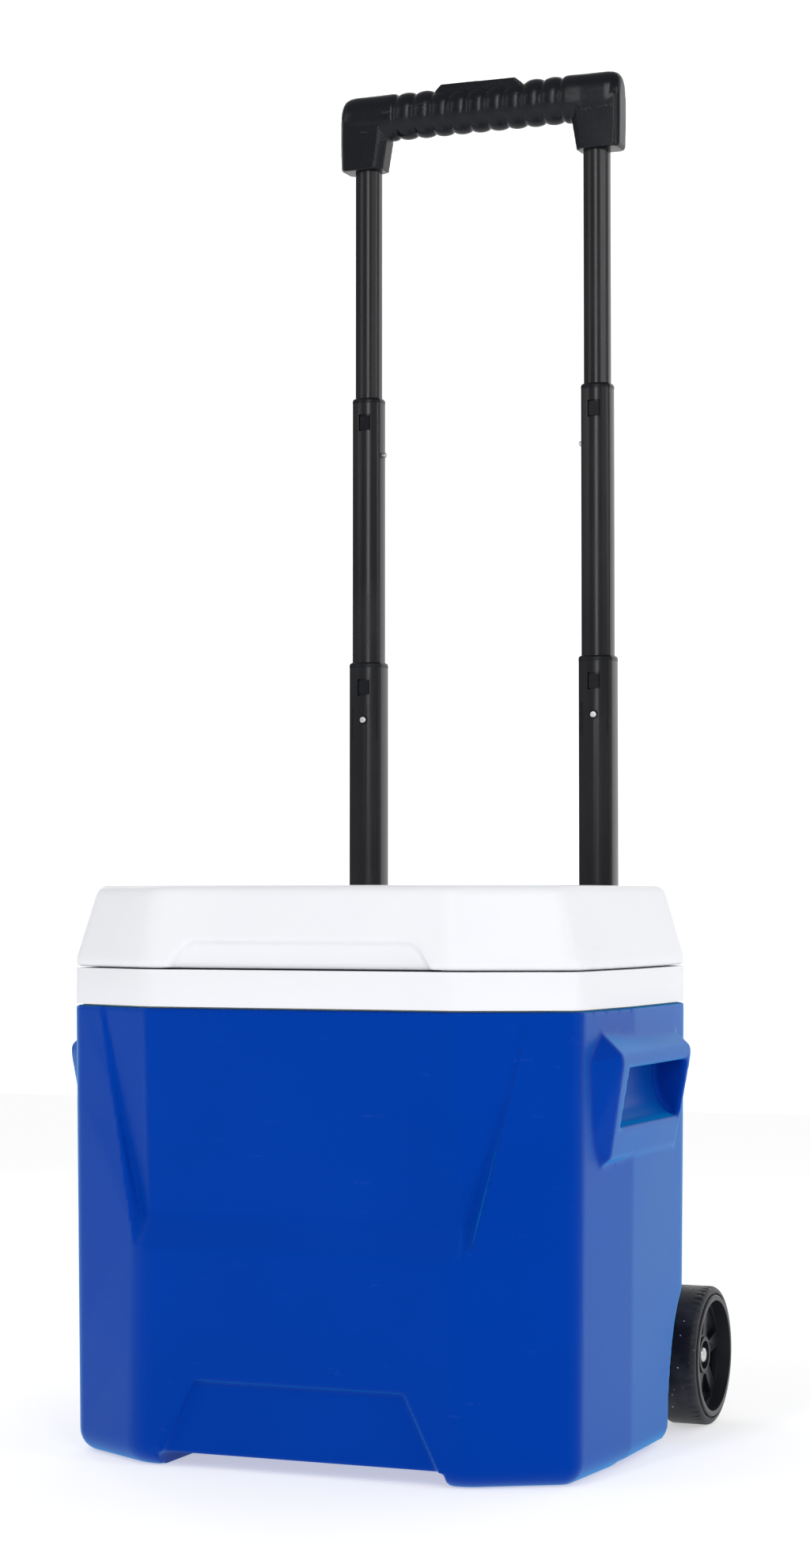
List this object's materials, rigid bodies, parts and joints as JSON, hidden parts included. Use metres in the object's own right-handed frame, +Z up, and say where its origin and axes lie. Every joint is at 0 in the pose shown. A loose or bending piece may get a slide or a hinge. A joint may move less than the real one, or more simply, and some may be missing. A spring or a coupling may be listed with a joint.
{
  "type": "wheeled cooler",
  "caption": "Hard-sided cooler on two rear wheels with a hinged lid, moulded side handles and a telescoping pull handle with a release button in its ribbed grip.",
  "frame": {"origin": "centre of the bounding box in X and Y, at floor level, with the pull handle extended", "axes": "+X to the right seen from the front, +Y to the back where the handle and wheels are, +Z up"},
  "size_m": [0.404, 0.359, 0.993],
  "materials": {
    "blue_shell": "satin",
    "white_plastic": "satin",
    "foam": "matte",
    "black_plastic": "satin",
    "black_tube": "satin",
    "bright_steel": "polished",
    "tyre_plastic": "matte"
  },
  "bodies": {
    "chest": {"outer_shell": "blue_shell", "inner_liner": "white_plastic", "insulation_foam": "foam", "hinge_pins": "bright_steel", "upper_bracket": "black_plastic", "lower_bracket": "black_plastic", "upper_bracket_screws": "bright_steel", "lower_bracket_screws": "bright_steel", "axle": "bright_steel", "axle_spacers": "black_plastic", "axle_caps": "bright_steel", "fixed_tube_left": "black_tube", "fixed_tube_right": "black_tube", "fixed_bush_left": "black_plastic", "fixed_bush_right": "black_plastic"},
    "lid": {"lid_shell": "white_plastic", "lid_pan": "white_plastic", "lid_foam": "foam"},
    "lower_stage": {"lower_tube_left": "black_tube", "lower_tube_right": "black_tube", "lower_bush_left": "black_plastic", "lower_bush_right": "black_plastic", "lower_plug_left": "black_plastic", "lower_plug_right": "black_plastic"},
    "middle_stage": {"middle_tube_left": "black_tube", "middle_tube_right": "black_tube", "middle_bush_left": "black_plastic", "middle_bush_right": "black_plastic", "middle_plug_left": "black_plastic", "middle_plug_right": "black_plastic"},
    "upper_stage": {"upper_tube_left": "black_tube", "upper_tube_right": "black_tube", "upper_plug_left": "black_plastic", "upper_plug_right": "black_plastic", "grip_front": "black_plastic", "grip_back": "black_plastic", "grip_screws": "bright_steel", "button_springs": "bright_steel"},
    "button": {"release_button": "black_plastic"},
    "upper_latch_left": {"upper_latch_pin_left": "bright_steel"},
    "upper_latch_right": {"upper_latch_pin_right": "bright_steel"},
    "middle_latch": {"middle_latch_pins": "bright_steel"},
    "lower_latch": {"lower_latch_pins": "bright_steel"},
    "left_wheel": {"wheel_hub_left": "black_plastic", "wheel_tyre_left": "tyre_plastic"},
    "right_wheel": {"wheel_hub_right": "black_plastic", "wheel_tyre_right": "tyre_plastic"}
  },
  "joints": [
    {"name": "lid_hinge", "type": "hinge", "parent": "chest", "child": "lid", "pos_m": [0, 0.102, 0.343], "axis": [-1, 0, 0], "range_deg": [0, 86]},
    {"name": "lower_slide", "type": "slide", "parent": "chest", "child": "lower_stage", "axis": [0, 0, 1], "range_m": [-0.177, 0], "deforming": ["lower_latch_pins"]},
    {"name": "middle_slide", "type": "slide", "parent": "lower_stage", "child": "middle_stage", "axis": [0, 0, 1], "range_m": [-0.202, 0], "deforming": ["middle_latch_pins"]},
    {"name": "upper_slide", "type": "slide", "parent": "middle_stage", "child": "upper_stage", "axis": [0, 0, 1], "range_m": [-0.163, 0], "deforming": ["upper_latch_pin_left", "upper_latch_pin_right"]},
    {"name": "button_press", "type": "slide", "parent": "upper_stage", "child": "button", "axis": [0, 0, -1], "range_m": [0, 0.005], "stiffness_N_per_m": 600, "springref_m": -0.002, "deforming": ["button_springs"]},
    {"name": "upper_left_pin", "type": "slide", "parent": "upper_stage", "child": "upper_latch_left", "axis": [-1, 0, 0], "range_m": [0, 0.0046]},
    {"name": "upper_right_pin", "type": "slide", "parent": "upper_stage", "child": "upper_latch_right", "axis": [1, 0, 0], "range_m": [0, 0.0046]},
    {"name": "middle_pins", "type": "slide", "parent": "middle_stage", "child": "middle_latch", "axis": [0, 1, 0], "range_m": [0, 0.0046]},
    {"name": "lower_pins", "type": "slide", "parent": "lower_stage", "child": "lower_latch", "axis": [0, 1, 0], "range_m": [0, 0.0046]},
    {"name": "left_wheel_spin", "type": "hinge", "parent": "chest", "child": "left_wheel", "pos_m": [-0.178, 0.1213, 0.049], "axis": [1, 0, 0], "continuous": true},
    {"name": "right_wheel_spin", "type": "hinge", "parent": "chest", "child": "right_wheel", "pos_m": [0.178, 0.1213, 0.049], "axis": [1, 0, 0], "continuous": true}
  ],
  "couplings": [
    {"joint": "upper_left_pin", "follows": "button_press", "ratio": 0.9},
    {"joint": "upper_right_pin", "follows": "button_press", "ratio": 0.9},
    {"joint": "middle_pins", "follows": "button_press", "ratio": 0.9},
    {"joint": "lower_pins", "follows": "button_press", "ratio": 0.9}
  ]
}
